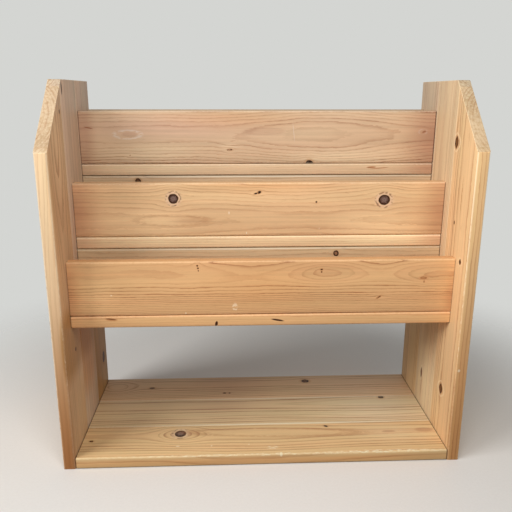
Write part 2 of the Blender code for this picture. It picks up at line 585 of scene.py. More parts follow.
def with_bark(colour, core, spot, knot, out, mottle):
    """A broken ring of bark round a dead knot, and growth lines in its core."""
    broken = cloud(place(spot.along / BARK_PATCH, spot.across / BARK_PATCH, knot.along), detail=1.0)
    bark = bell(squared((out + broken * BARK_WANDER - BARK_OUT) / BARK_WIDTH))
    bark = bark * ease(broken + mottle * BARK_MOTTLE, *BARK_SHOWS)
    lines = ease(reckon("SINE", out * GROWTH_LINES + mottle * GROWTH_WANDER), *GROWTH_SHOWS)
    core = tint(lines * GROWTH_COVER, core, KNOT_COLOURS[knot.kind]["rim"])
    return tint(bark * BARK_COVER, colour, BARK), core


def with_knot(colour, spot, knot, mottle, grit):
    """Paints one knot: the stained wood round it, its bark, then its rim and core."""
    shades = KNOT_COLOURS[knot.kind]
    dead = knot.kind == "dead"
    out = from_knot(spot, knot) + mottle * (DEAD_WANDER if dead else KNOT_WANDER)
    core = tint(ease(out + grit * CORE_GRIT, *CORE), shades["core"], shades["rim"])
    if knot.pointed:
        colour = tint(ease(out, *SPINDLE_STAIN) * SPINDLE_STAIN_COVER, colour, RUSSET)
        colour = tint(bell(squared((out - SPINDLE_OUT) / SPINDLE_WIDTH)) * SPINDLE_COVER, colour, PALE_WEAR_AND_HIGHLIGHT)
        return tint(ease(out, *SPINDLE_BORDER), colour, core)
    colour = tint(bell(squared((out - HALO_OUT) / HALO_WIDTH)) * HALO_COVER, colour, shades["halo"])
    if dead:
        colour, core = with_bark(colour, core, spot, knot, out, mottle)
    return tint(ease(out, *ROUND_BORDER), colour, core)


print("kinds of knot:", ", ".join(KNOT_COLOURS))

# %% [markdown]
# ## Marks
# Use and growth leave smaller marks too: pale scuffs on the arrises, pockets of dark pitch that the plane
# cut open, and russet streaks. Others are painted light and shade: pale and grey patches of painted light,
# painted shade under the ledges, at the ends of boards and low down, a cool painted shade on inner faces, and
# painted highlights on some arrises. Paint would hide the grain, so a stain is multiplied into the wood
# instead, and only scuffs, highlights, pitch and russet cover it.

# %% Marks
# Of these colours the pale one and the pale grey one are painted light; the umber, the low dark one and the
# pearly one are painted shade; blush and amber are wood colour in small marks and painted shade in broad ones;
# and the pale scuff colour also paints highlights on arrises.
MARK_COLOURS = {
    "scuff_and_highlight": srgb(250, 232, 204),
    "pitch": srgb(64, 34, 18),
    "russet": RUSSET,
    "gap": srgb(70, 32, 10),
    "blush_and_painted_shade": srgb(180, 128, 96),
    "rose": srgb(222, 168, 138),
    "painted_low_shade": srgb(166, 104, 48),
    "painted_shade": srgb(185, 134, 77),
    "painted_cool_light": srgb(206, 172, 144),
    "painted_cool_shade": srgb(216, 183, 152),
    "amber_and_painted_shade": srgb(214, 150, 88),
    "apricot": srgb(240, 160, 100),
    "painted_light": srgb(255, 218, 168),
}
STAINS_AND_PAINTED_LIGHT = ("blush_and_painted_shade", "rose", "painted_low_shade", "painted_shade", "painted_cool_light", "painted_cool_shade", "amber_and_painted_shade", "apricot", "painted_light")
PLAIN_WOOD = (0.75, 0.48, 0.26)
HOLLOW_WIDTH = 0.17
HOLLOW_WANDER = 0.5
BREAK_FROM, BREAK_TO = 0.5, 0.35


def stain(middle, reach, colour, strength, edge=False):
    """A mark with no border, which fades all the way from its middle."""
    return Mark(middle, reach, colour, strength, full=0.0, edge=edge)


def with_mark(colour, spot, mark, flake):
    """Paints one mark: a scuff, stain, pitch pocket, painted highlight, or patch of painted light or shade."""
    across, deep = (spot.deep, spot.across) if mark.edge else (spot.across, spot.deep)
    out = reach_squared(spot.along, across, mark.middle[:2], mark.reach[:2], mark.turn)
    out = reckon("SQRT", out + squared((deep - mark.middle[2]) / mark.reach[2]))
    if mark.hollow:
        shown = bell(squared((out + flake * HOLLOW_WANDER - 1.0) / HOLLOW_WIDTH))
    else:
        shown = ease(out, 1.0, mark.full)
    if mark.broken:
        shown = shown * ease(flake, mark.broken - BREAK_FROM, mark.broken - BREAK_TO)
    paint = MARK_COLOURS[mark.colour]
    if mark.colour in STAINS_AND_PAINTED_LIGHT:
        paint = stained(colour, (*(value / plain for value, plain in zip(paint, PLAIN_WOOD)), 1.0))
    return tint(shown * mark.strength, colour, paint)


print(len(MARK_COLOURS), "kinds of mark, of which", len(STAINS_AND_PAINTED_LIGHT), "are stains")

# %% [markdown]
# ## Wear, painted highlights and painted shade
# Hands and books rub the arrises pale, first on the sharpest part, and the same pale line is also a painted
# highlight. The upper faces of standing boards carry painted shade, and a thin dark line shows where a board
# butts against a side. Rounded arrises of the sides are found from the way they face: between two flat faces,
# the squares of the facing are both well below one.

# %% Wear
PAINTED_TOP_SHADE = srgb(120, 86, 56)
JOINT = srgb(80, 38, 14)
RUBBED_AND_HIGHLIT = (3.0, 0.8)
RUBBED_AND_HIGHLIT_MOTTLE, RUBBED_AND_HIGHLIT_GRIT = 3.0, 1.6
RUBBED_AND_HIGHLIT_BOARD, RUBBED_AND_HIGHLIT_SIDE = 0.34, 0.16
UPWARDS = (0.5, 0.95)
TOP_SHADE_SHOWS = 0.22
JOINT_WIDTH = (1.6, 0.3)
FLAT_FACE = (0.5, 0.9)
ROUNDED = (0.93, 0.7)
ROUNDED_SHOWS = 0.7
ROUNDED_BREAK = (-0.1, 0.1)
LOW_SIDES_DULLER = 900


def rubbed_and_highlit(colour, spot, cut, order, mottle, grit):
    """Pale wood along the worn arrises, which is also a painted highlight."""
    from_face = spot.half[2] - reckon("ABSOLUTE", spot.deep)
    for worn, from_edge in zip(cut.arrises, (spot.half[1] + spot.across, spot.half[1] - spot.across)):
        if worn:
            from_arris = reckon("MAXIMUM", from_edge, from_face)
            from_arris = from_arris + mottle * RUBBED_AND_HIGHLIT_MOTTLE + grit * RUBBED_AND_HIGHLIT_GRIT
            shown = ease(from_arris, *RUBBED_AND_HIGHLIT) * (RUBBED_AND_HIGHLIT_SIDE if order == UPRIGHT else RUBBED_AND_HIGHLIT_BOARD)
            # The pale arris is wear, and at the same time a painted highlight.
            colour = tint(shown, colour, PALE_WEAR_AND_HIGHLIGHT)
    return colour


def butted(colour, spot, cut, order):
    """A dark line at both ends of a cross board, and painted shade on the upper faces of a standing one."""
    if order == UPRIGHT:
        return colour
    left, right = cut.joints
    half = spot.half[0]
    line = ease(spot.along + half, *JOINT_WIDTH) * left + ease(half - spot.along, *JOINT_WIDTH) * right
    if order == STANDING:
        # Upward faces of standing boards are darkened: painted shade.
        colour = tint(ease(spot.facing[1], *UPWARDS) * TOP_SHADE_SHOWS, colour, PAINTED_TOP_SHADE)
        line = line * ease(reckon("ABSOLUTE", spot.facing[2]), *FLAT_FACE)
    return tint(line, colour, JOINT)


def rounded_wear_and_highlight(colour, spot, flake):
    """A broken pale line on the rounded arrises of a side: worn wood and a painted highlight both."""
    level = squared(spot.facing[2])
    shown = ease(reckon("MAXIMUM", level, 1.0 - level), *ROUNDED)
    shown = shown * ease(flake + spot.along / LOW_SIDES_DULLER, *ROUNDED_BREAK)
    return tint(shown * ROUNDED_SHOWS, colour, PALE_WEAR_AND_HIGHLIGHT)


print("arrises are rubbed", RUBBED_AND_HIGHLIT[0], "mm wide")

# %% [markdown]
# ## End grain
# A sawn end shows the open pores of the wood. It drinks more of the finish, so it is greyer and duller than a
# face, with the rings as faint arcs. The corner cut of the sides shows it at a slant.

# %% End grain
END_GRAIN = srgb(197, 184, 157)
END_PORES = srgb(154, 131, 101)
PORE_PATCH = (1.7, 1.7)
PORES_SHOW = (-0.22, 0.14)
END_COVER = 0.75
END_RINGS = 0.36
END_SPECK, END_MOTTLE, END_DRIFT = 0.4, 0.8, 0.4


def with_end_grain(colour, spot, cut, end, late, mottle, drift):
    """Speckled, greyer wood where the face looks along the grain."""
    pores = patches(spot, PORE_PATCH, cut.seed, detail=3.0)
    speckle = pores * END_SPECK + mottle * END_MOTTLE + drift * END_DRIFT
    speckled = tint(ease(speckle, *PORES_SHOW), END_PORES, END_GRAIN)
    speckled = tint(late * END_RINGS, speckled, LINE)
    return tint(end * END_COVER, colour, speckled)


print("pores are about", PORE_PATCH[0], "mm apart")

# %% [markdown]
# ## One board's material
# The layers go on in the order in which the real ones came to the board, with painted light and shade among
# them: growth, knots, marks, wear with its painted highlights and the painted shade on upper faces, the tone of
# this board among the others, the sawn ends, and last the rounded arrises of a side. The satin finish is the
# same all over, so its shine is set on the shader itself. Late wood stands a little proud, and a bump shows
# that at a low light.

# %% One board's material
TURNED_TO = (0.35, 0.9)
GRIT_PATCH = (2.2, 2.2)
MOTTLE_PATCH = (4.5, 4.5)
FLAKE_PATCH = (8, 1.8)
SATIN = 0.14
ROUGH, ROUGH_GRIT, ROUGH_LATE, ROUGH_END = 0.5, 0.2, 0.06, 0.12
RELIEF = 0.0004
RELIEF_SHOWS = 0.35
LATE_RELIEF, FIBRE_RELIEF = 0.4, 0.5


def new_finish(name):
    """A new material, its node tree and its main shader."""
    material = bpy.data.materials.new(name)
    material.use_nodes = True
    return material, material.node_tree, material.node_tree.nodes["Principled BSDF"]


def softwood(node, order, cut):
    """A satin finished softwood for one board."""
    material, tree, shader = new_finish(node + " wood")
    spot = board_spot(tree, node, order)
    end, edge = (ease(reckon("ABSOLUTE", spot.facing[axis]), *TURNED_TO) for axis in (0, 1))
    grit = patches(spot, GRIT_PATCH, cut.seed, detail=2.0)
    mottle = patches(spot, MOTTLE_PATCH, cut.seed)
    flake = patches(spot, FLAKE_PATCH, cut.seed, detail=2.0)

    colour, late, fibre, drift = grown_wood(spot, cut, edge)
    for knot in cut.knots:
        colour = with_knot(colour, spot, knot, mottle, grit)
    for mark in cut.marks:
        colour = with_mark(colour, spot, mark, flake)
    colour = rubbed_and_highlit(colour, spot, cut, order, mottle, grit)
    colour = butted(colour, spot, cut, order)
    colour = stained(colour, (*cut.tone, 1.0))
    colour = with_end_grain(colour, spot, cut, end, late, mottle, drift)
    if order == UPRIGHT:
        colour = rounded_wear_and_highlight(colour, spot, flake)

    feed(shader.inputs["Base Color"], colour)
    feed(shader.inputs["Roughness"], ROUGH + grit * ROUGH_GRIT - late * ROUGH_LATE + end * ROUGH_END)
    shader.inputs["Specular IOR Level"].default_value = SATIN
    bump = tree.nodes.new("ShaderNodeBump")
    bump.inputs["Strength"].default_value = RELIEF_SHOWS
    bump.inputs["Distance"].default_value = RELIEF
    feed(bump.inputs["Height"], late * LATE_RELIEF + fibre * FIBRE_RELIEF)
    tree.links.new(bump.outputs["Normal"], shader.inputs["Normal"])
    return material


print("satin finish with a specular level of", SATIN)

# %% [markdown]
# ## Soft arrises
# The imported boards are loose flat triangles, and their rounded arrises would show as strips. Shading the mesh
# smoothly by hand would change it, so a few geometry nodes do it on top: they join the triangles and smooth
# the shading, except where two faces meet at a real corner.

# %% Soft arrises
JOIN_WITHIN = 0.00001
CORNER = math.radians(40)


def soft_arrises():
    """A node group that welds a mesh and smooths its shading across gentle angles."""
    group = bpy.data.node_groups.new("soft arrises", "GeometryNodeTree")
    group.interface.new_socket("Geometry", in_out="INPUT", socket_type="NodeSocketGeometry")
    group.interface.new_socket("Geometry", in_out="OUTPUT", socket_type="NodeSocketGeometry")
    taken = group.nodes.new("NodeGroupInput").outputs[0]
    weld = group.nodes.new("GeometryNodeMergeByDistance")
    weld.inputs["Distance"].default_value = JOIN_WITHIN
    smooth = group.nodes.new("GeometryNodeSetShadeSmooth")
    angle = group.nodes.new("GeometryNodeInputMeshEdgeAngle")
    corner = group.nodes.new("FunctionNodeCompare")
    corner.inputs["B"].default_value = CORNER
    crease = group.nodes.new("GeometryNodeSetShadeSmooth")
    crease.domain = "EDGE"
    crease.inputs["Shade Smooth"].default_value = False
    given = group.nodes.new("NodeGroupOutput").inputs[0]
    links = group.links
    links.new(taken, weld.inputs["Geometry"])
    links.new(weld.outputs["Geometry"], smooth.inputs["Geometry"])
    links.new(smooth.outputs["Geometry"], crease.inputs["Geometry"])
    links.new(angle.outputs["Unsigned Angle"], corner.inputs["A"])
    links.new(corner.outputs["Result"], crease.inputs["Selection"])
    links.new(crease.outputs["Geometry"], given)
    return group


softened = soft_arrises()
print("soft arrises:", len(softened.nodes), "nodes")

# %% [markdown]
# Each board then gets a material of its own. One material for all would be less to keep, but then the boards
# would share one log and one set of knots, and glued boards would lose the change of colour at the seam.


# %% Dressing a board
def dress(node, order, cut):
    """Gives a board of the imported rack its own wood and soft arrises."""
    board = bpy.data.objects[node]
    board.modifiers.new("soft arrises", "NODES").node_group = softened
    board.data.materials.clear()
    board.data.materials.append(softwood(node, order, cut))
    print(node, "dressed:", len(cut.knots), "knots,", len(cut.marks), "marks")


print("boards to dress:", sum("_screw_" not in name for name in frame["nodes"]))

# %% [markdown]
# ## The rear rail
# The rails carry the look of the rack. The rear one was cut close under the heart, so its rings meet the face
# as long closed ovals. A swell with a negative lift brings a ring nearer and closes such an oval. Its ends
# are browner in painted shade, the right one most, pale patches of painted light lie low on its face, and a
# small pair of knots sits left of the middle. Places were read from the photograph.

# %% Rear rail
FRONT_FACE = -9.5
BOARD_END = 298

dress("rear_tier_rail", STANDING, Cut(
    heart=(5.0, 44.0),
    ring=2.7,
    contrast=0.43,
    swells=(
        Swell(103, 5, (123, 300), -6.5),
        Swell(-215, 5, (120, 300), -1.3),
        Swell(-49, -12, (16, 9), -1.6),
    ),
    knots=(
        Knot(-49, -20, 1.6, stretch=2.6, kind="live", push=0.9),
        Knot(-47, -20, 0.9, stretch=1.4, kind="brown"),
        Knot(-53, -20.5, 0.7, stretch=1.4, kind="brown"),
        Knot(-216, -29, 0.8, kind="live"),
        Knot(279, 9, 1.3, stretch=2.2, turn=0.4, kind="live"),
        Knot(85.3, -43.0, 5.0, stretch=1.25, kind="black"),
    ),
    marks=(
        # The pale patches are painted light; the amber band near the top and the blush at both ends are painted
        # shade.
        stain((-150, 18, FRONT_FACE), (220, 34, 8), "rose", 0.45),
        stain((-200, 0, FRONT_FACE), (150, 70, 8), "painted_light", 0.16),
        stain((-40, 32, FRONT_FACE), (180, 30, 8), "amber_and_painted_shade", 0.35),
        stain((-190, -28, FRONT_FACE), (110, 30, 8), "painted_light", 0.5),
        stain((150, -32, FRONT_FACE), (150, 28, 8), "painted_light", 0.65),
        Mark((8, 10, FRONT_FACE), (42, 8, 5), "blush_and_painted_shade", 0.2, full=0.7),
        stain((-49, -14, FRONT_FACE), (26, 7, 5), "painted_light", 0.5),
        Mark((-218, 5, FRONT_FACE), (22, 7, 4), "scuff_and_highlight", 0.5, broken=0.36, hollow=True),
        Mark((-215, 5, FRONT_FACE), (16, 5, 4), "blush_and_painted_shade", 0.25, full=0.6),
        Mark((-282, 16, FRONT_FACE), (9, 1.4, 6), "russet", 0.7, turn=-0.2),
        Mark((58, 8, FRONT_FACE), (0.7, 19, 4), "scuff_and_highlight", 0.35, turn=0.12),
        Mark((277, 9, FRONT_FACE), (7, 4.5, 4), "scuff_and_highlight", 0.4, broken=0.4, hollow=True),
        stain((BOARD_END, 0, FRONT_FACE), (75, 120, 8), "blush_and_painted_shade", 0.82),
        Mark((-BOARD_END, 0, FRONT_FACE), (34, 150, 8), "blush_and_painted_shade", 0.55, full=0.3),
    ),
    joints=(0.6, 1.0),
    tone=(0.84, 0.89, 1.03),
    seed=3.0,
))

# %% [markdown]
# ## The middle rail
# This one has two round knots with bark round them, and wide calm rings between. Painted light makes it paler
# low down, and painted shade browner at both ends and along its top. Near its left end the rings close in a
# flat lens, made here with a hollow mark, since a swell would also bend the lines round it.

# %% Middle rail
dress("middle_tier_rail", STANDING, Cut(
    heart=(-17.0, 40.0),
    ring=3.4,
    contrast=0.3,
    swells=(Swell(60, -17, (120, 200), 3.0),),
    knots=(
        Knot(-140, 18.4, 8.0, kind="dead", push=0.75),
        Knot(199.3, 14.6, 8.4, stretch=1.12, kind="dead", push=0.75),
        Knot(-3.0, 27.8, 2.0, stretch=1.5, turn=0.5, kind="black"),
        Knot(-8.6, 26.0, 1.1, stretch=2.6, turn=0.3, kind="black"),
        Knot(89, 11.8, 1.3, kind="black"),
    ),
    marks=(
        # The pale patches low down are painted light; the amber band along the top and the blush at both ends
        # are painted shade.
        stain((-195, -22, FRONT_FACE), (130, 44, 8), "painted_light", 0.85),
        stain((200, -26, FRONT_FACE), (120, 40, 8), "painted_light", 0.7),
        stain((0, 42, FRONT_FACE), (200, 24, 8), "amber_and_painted_shade", 0.35),
        stain((0, 2, FRONT_FACE), (420, 8, 6), "blush_and_painted_shade", 0.15),
        Mark((-144, -17, FRONT_FACE), (56, 9, 5), "russet", 0.25, broken=0.3, hollow=True),
        Mark((-118, -18, FRONT_FACE), (38, 6, 5), "blush_and_painted_shade", 0.35, full=0.1),
        Mark((-51.6, -5, FRONT_FACE), (1.2, 3, 4), "scuff_and_highlight", 0.7),
        Mark((-23.6, -38.3, FRONT_FACE), (1.0, 2.4, 4), "scuff_and_highlight", 0.8),
        Mark((97, -32.5, FRONT_FACE), (6, 2.4, 4), "scuff_and_highlight", 0.6, broken=0.5),
        stain((BOARD_END, 0, FRONT_FACE), (56, 110, 8), "blush_and_painted_shade", 0.72),
        stain((-BOARD_END, 0, FRONT_FACE), (56, 110, 8), "blush_and_painted_shade", 0.78),
    ),
    joints=(0.35, 0.6),
    tone=(1.02, 1.01, 1.0),
    seed=8.0,
))

# %% [markdown]
# ## The front rail
# Narrow rings and strong lines: dense and straight below, swirling above round three groups of small knots.
# Each swirl is a swell at the place of an eye in the photograph, and the tiny knots in it are brown dots.

# %% Front rail
dress("front_tier_rail", STANDING, Cut(
    heart=(22.0, 38.0),
    ring=2.1,
    contrast=0.56,
    ragged=0.6,
    swells=(
        Swell(100, 22, (46, 15), -4.4),
        Swell(90, 26, (9, 5), -1.3),
        Swell(282, 18, (62, 15), -4.4),
        Swell(254, 15, (15, 5), -1.0),
        Swell(185, 34, (34, 22), 2.4),
        Swell(-20, 30, (70, 24), 2.6),
        Swell(-100, 40, (14, 9), -1.6),
    ),
    knots=(
        Knot(-100.5, 36.5, 1.2, kind="brown"),
        Knot(-99.5, 32.5, 1.2, kind="brown"),
        Knot(-99, 28.5, 0.9, kind="brown"),
        Knot(90, 28.5, 1.3, stretch=1.4, kind="brown"),
        Knot(90, 24.5, 1.1, kind="brown"),
        Knot(250, 13, 2.2, stretch=2.4, kind="live"),
        Knot(251, 7, 1.6, stretch=0.6, kind="live"),
        Knot(181, -17.7, 1.3, stretch=3.4, turn=0.6, kind="live", push=0.9),
        Knot(182, -17.2, 0.7, stretch=3.0, turn=0.6, kind="brown", push=0.2),
    ),
    marks=(
        Mark((-43.7, -30.7, FRONT_FACE), (4.5, 7.5, 4), "scuff_and_highlight", 0.9, broken=0.42, full=0.8),
        Mark((-233, -9.6, FRONT_FACE), (1.6, 1.4, 4), "scuff_and_highlight", 0.9),
        Mark((-120, -40, FRONT_FACE), (1.6, 1.4, 4), "scuff_and_highlight", 0.9),
        # The blush at both ends is painted shade, and the pale patch near the left end is painted light.
        stain((BOARD_END, -20, FRONT_FACE), (18, 50, 8), "blush_and_painted_shade", 0.5),
        stain((0, 0, FRONT_FACE), (150, 60, 8), "amber_and_painted_shade", 0.2),
        stain((0, 42, FRONT_FACE), (420, 32, 8), "blush_and_painted_shade", 0.32),
        stain((-262, -14, FRONT_FACE), (56, 50, 8), "painted_light", 0.6),
        stain((-BOARD_END, 0, FRONT_FACE), (26, 90, 8), "blush_and_painted_shade", 0.5),
    ),
    joints=(0.25, 0.2),
    tone=(1.07, 0.95, 0.83),
    seed=14.0,
))

# %% [markdown]
# ## The back rail
# It closes the rack behind the rear ledge and is hardly seen from the front. Its wood is plainer, and its
# darker tone is painted shade, as it stands in shade. It has two small knots of a usual kind, so that the rack
# looks whole from behind.

# %% Back rail
dress("back_rail", STANDING, Cut(
    heart=(-12.0, 50.0),
    ring=3.1,
    knots=(Knot(140, 12, 5.0), Knot(-70, -18, 3.0, kind="brown")),
    # The darker tone is painted shade.
    tone=(0.72, 0.76, 0.82),
    seed=21.0,
))

# %% [markdown]
# ## The floors
# Of the floors only the front edges show from the front. The lowest edge has dark pitch pockets, thin pools
# of resin that the plane cut open. A mark with edge set is measured on the edge instead of the face.

# %% Front floor
FRONT_EDGE = -44.5

dress("front_tier_floor", FLAT, Cut(
    heart=(8.0, 46.0),
    ring=3.0,
    contrast=0.28,
    knots=(Knot(150, 12, 5.0), Knot(-190, -10, 4.0, kind="brown")),
    marks=(
        Mark((-235, 4.4, FRONT_EDGE), (11, 2.3, 6), "russet", 0.75, turn=-0.08, edge=True),
        Mark((-236, 5.4, FRONT_EDGE), (10, 1.0, 6), "pitch", 0.8, turn=-0.12, edge=True),
        Mark((-72.9, -5.0, FRONT_EDGE), (2.5, 5.4, 6), "pitch", turn=-0.2, edge=True, full=0.7),
        Mark((22.9, 0.0, FRONT_EDGE), (12.5, 1.9, 6), "pitch", turn=-0.17, edge=True),
    ),
    joints=(0.5, 0.4),
    tone=(1.1, 0.97, 0.83),
    seed=30.0,
))

# %% [markdown]
# The two upper floors rest on risers. The joint below each is a thin brown line in the photograph. A modelled
# gap alone would render grey, as light leaks into it, so the lower arris of the floor carries the brown.

# %% Middle and rear floors
REAR_FLOOR_EDGE = -43

dress("middle_tier_floor", FLAT, Cut(
    heart=(-14.0, 40.0),
    ring=2.8,
    contrast=0.35,
    knots=(Knot(60, -8, 4.5),),
    marks=(
        # The blush at both ends of the edge is painted shade, the pale patches are painted light, and the
        # brighter, cooler tone of this board below is painted light too.
        stain((BOARD_END, 2, FRONT_EDGE), (60, 40, 8), "blush_and_painted_shade", 0.6, edge=True),
        stain((-BOARD_END, 2, FRONT_EDGE), (50, 40, 8), "blush_and_painted_shade", 0.55, edge=True),
        stain((190, 2, FRONT_EDGE), (120, 40, 8), "painted_light", 0.42, edge=True),
        stain((-190, 2, FRONT_EDGE), (90, 40, 8), "painted_light", 0.3, edge=True),
        Mark((0, FRONT_FACE, FRONT_EDGE), (420, 1.7, 40), "gap", 0.6, full=0.3, edge=True),
    ),
    joints=(0.6, 0.85),
    tone=(1.1, 1.21, 1.3),
    seed=35.0,
))
dress("rear_tier_floor", FLAT, Cut(
    heart=(4.0, -44.0),
    ring=2.9,
    contrast=0.28,
    knots=(Knot(-120, 10, 4.0),),
    marks=(
        Mark((192, 3.2, REAR_FLOOR_EDGE), (10, 1.8, 6), "russet", 0.9, turn=0.05, edge=True),
        Mark((206, 1.6, REAR_FLOOR_EDGE), (20, 0.9, 6), "russet", 0.8, turn=0.08, edge=True),
        # The blush at both ends of the edge is painted shade, and the pale patch is painted light.
        stain((BOARD_END, 2, REAR_FLOOR_EDGE), (80, 40, 8), "blush_and_painted_shade", 0.8, edge=True),
        stain((-BOARD_END, 2, REAR_FLOOR_EDGE), (50, 40, 8), "blush_and_painted_shade", 0.4, edge=True),
        stain((-185, 2, REAR_FLOOR_EDGE), (110, 40, 8), "painted_light", 0.5, edge=True),
        Mark((-120, FRONT_FACE, REAR_FLOOR_EDGE), (480, 1.9, 40), "gap", 0.65, full=0.3, edge=True),
    ),
    joints=(0.7, 1.0),
    tone=(0.91, 0.99, 1.13),
    seed=41.0,
))

# %% [markdown]
# ## The risers
# Only a strip of each riser shows between two ledges, in shade, and the darker tone of each is painted shade.
# Its top arris carries a painted highlight, and each has one knot in the strip: a ring with a pale core on the
# middle one, and a brown one at the left on the rear.

# %% Risers
# A pale line along the top arris: a painted highlight.
TOP_ARRIS_HIGHLIGHT = Mark((0, 42.7, FRONT_FACE), (420, 1.5, 5), "scuff_and_highlight", 0.5, full=0.3)

dress("middle_tier_riser", STANDING, Cut(
    heart=(10.0, 42.0),
    ring=2.8,
    contrast=0.32,
    knots=(Knot(124, 33.8, 4.8, kind="ring"), Knot(-160, -12, 3.0, kind="brown")),
    marks=(TOP_ARRIS_HIGHLIGHT,),
    joints=(0.6, 0.85),
    tone=(0.78, 0.85, 0.9),
    seed=46.0,
))
dress("rear_tier_riser", STANDING, Cut(
    heart=(-8.0, 44.0),
    ring=3.0,
    contrast=0.32,
    knots=(Knot(-205, 36.0, 4.6, kind="brown"), Knot(70, -10, 4.0, kind="brown")),
    marks=(TOP_ARRIS_HIGHLIGHT,),
    joints=(0.7, 1.0),
    tone=(0.75, 0.84, 0.94),
    seed=52.0,
))

# %% [markdown]
# ## The low shelf
# Three boards glued edge to edge. The front one has the largest knot of the rack, ringed like a target: a
# strong swell under the knot makes the rings. A long flame runs from it to the right. The front arris is
# rubbed almost white where things are pushed in.

# %% Front board of the shelf
TOP_FACE = 9.5
WHOLE = 900

dress("shelf_front_board", FLAT, Cut(
    heart=(14.0, 34.0),
    ring=6.2,
    contrast=0.45,
    ragged=0.5,
    swells=(Swell(-137, 20, (34, 22), -23.0), Swell(0, 16, (125, 300), -5.5)),
    knots=(
        Knot(-137.5, 19.4, 9.6, kind="dead", push=0.4),
        Knot(-283, 2.8, 2.2, stretch=1.5, kind="brown"),
        Knot(111.7, 33.2, 2.2, stretch=1.6, turn=-0.5, kind="black"),
    ),
    marks=(
        Mark((20, 18, TOP_FACE), (142, 12, 5), "russet", 0.4, broken=0.3, hollow=True, turn=-0.038),
        Mark((216.7, 13.3, TOP_FACE), (15, 4, 5), "blush_and_painted_shade", 0.55),
        Mark((278, 16, TOP_FACE), (20, 8, 5), "blush_and_painted_shade", 0.5),
        Mark((15, -26, TOP_FACE), (12, 5, 4), "scuff_and_highlight", 0.85, broken=0.47),
        Mark((-139, -17, TOP_FACE), (4, 1.8, 4), "scuff_and_highlight", 0.5),
        Mark((-84, -18, TOP_FACE), (2, 1.6, 4), "scuff_and_highlight", 0.6),
        Mark((-23, -16, TOP_FACE), (2, 1.6, 4), "scuff_and_highlight", 0.5),
        Mark((28, -43, 8.0), (3, 4, 5), "scuff_and_highlight", 0.8),
        stain((0, -2, FRONT_EDGE), (WHOLE, 12, 4), "apricot", 0.45, edge=True),
        # These two stains are painted light, paler and greyer to the right; the pale line on the rear arris
        # further down is a painted highlight at the seam.
        stain((235, 10, TOP_FACE), (130, 50, 5), "painted_light", 0.5),
        stain((235, 10, TOP_FACE), (130, 50, 5), "painted_cool_light", 0.4),
        Mark((60, -43.5, 9.0), (420, 2.8, 2.8), "scuff_and_highlight", 0.75, broken=0.48, full=0.4),
        Mark((190, -42.0, 9.2), (110, 4.2, 3), "scuff_and_highlight", 0.75, broken=0.45, full=0.4),
        Mark((60, 44.5, TOP_FACE), (330, 4.0, 4), "scuff_and_highlight", 0.9, full=0.2),
    ),
    joints=(0.85, 0.85),
    tone=(0.98, 1.03, 0.95),
    seed=60.0,
))

# %% [markdown]
# The two boards behind it lie in more shade. Their rings are wide with strong lines, and the seams between
# the boards show as pale lines, painted highlights on the rounded glued arrises. To the right the wood is
# painted paler and greyer as painted light, with two stains, one light and one grey, over each other, and a
# patch of painted shade lies further left.

# %% Middle and rear boards of the shelf
dress("shelf_middle_board", FLAT, Cut(
    heart=(22.0, 30.0),
    ring=6.4,
    contrast=0.65,
    ragged=0.5,
    swells=(Swell(240, 14, (150, 300), -5.0),),
    knots=(Knot(231.6, 40.0, 4.6, stretch=1.15, kind="brown"),),
    marks=(
        # The blush is painted shade, the pale and grey stains are painted light, and the pale seam lines are
        # painted highlights.
        stain((-70, 20, TOP_FACE), (100, 60, 8), "blush_and_painted_shade", 0.3),
        stain((210, 0, TOP_FACE), (190, 110, 8), "painted_light", 0.6),
        stain((230, 0, TOP_FACE), (170, 110, 8), "painted_cool_light", 0.5),
        Mark((60, 44.5, TOP_FACE), (300, 4.0, 4), "scuff_and_highlight", 0.6, full=0.2),
        Mark((60, -44.5, TOP_FACE), (330, 2.6, 4), "scuff_and_highlight", 0.5, full=0.2),
    ),
    joints=(0.85, 0.85),
    tone=(0.86, 0.97, 1.0),
    seed=66.0,
))
dress("shelf_rear_board", FLAT, Cut(
    heart=(14.0, 34.0),
    ring=5.6,
    contrast=0.52,
    ragged=0.5,
    swells=(Swell(-273, 2, (32, 34), -14.2),),
    knots=(
        Knot(-205.5, 2.8, 3.0, stretch=1.7, kind="brown"),
        Knot(-64.5, -22, 2.2, stretch=1.4, kind="black"),
        Knot(-54.8, -22.3, 1.8, kind="black"),
        Knot(96.2, 20.5, 6.4, stretch=1.15, kind="brown"),
    ),
    marks=(
        # The blush is painted shade, and the pale and grey stains are painted light.
        stain((-55, 0, TOP_FACE), (110, 120, 8), "blush_and_painted_shade", 0.3),
        stain((190, 0, TOP_FACE), (180, 120, 8), "painted_light", 0.4),
        stain((200, 0, TOP_FACE), (180, 120, 8), "painted_cool_light", 0.4),
    ),
    joints=(0.85, 0.85),
    tone=(0.86, 0.9, 0.95),
    seed=72.0,
))

# %% [markdown]
# ## The right side
# Each side is three upright boards with the grain running up. The front edge carries painted light above and
# painted shade below, where less light reaches it. On the inner face sit spindle knots, branches that were cut
# along their length, and between them a russet streak of resin.

# %% Front board of the right side
RIGHT_INNER = -9.5

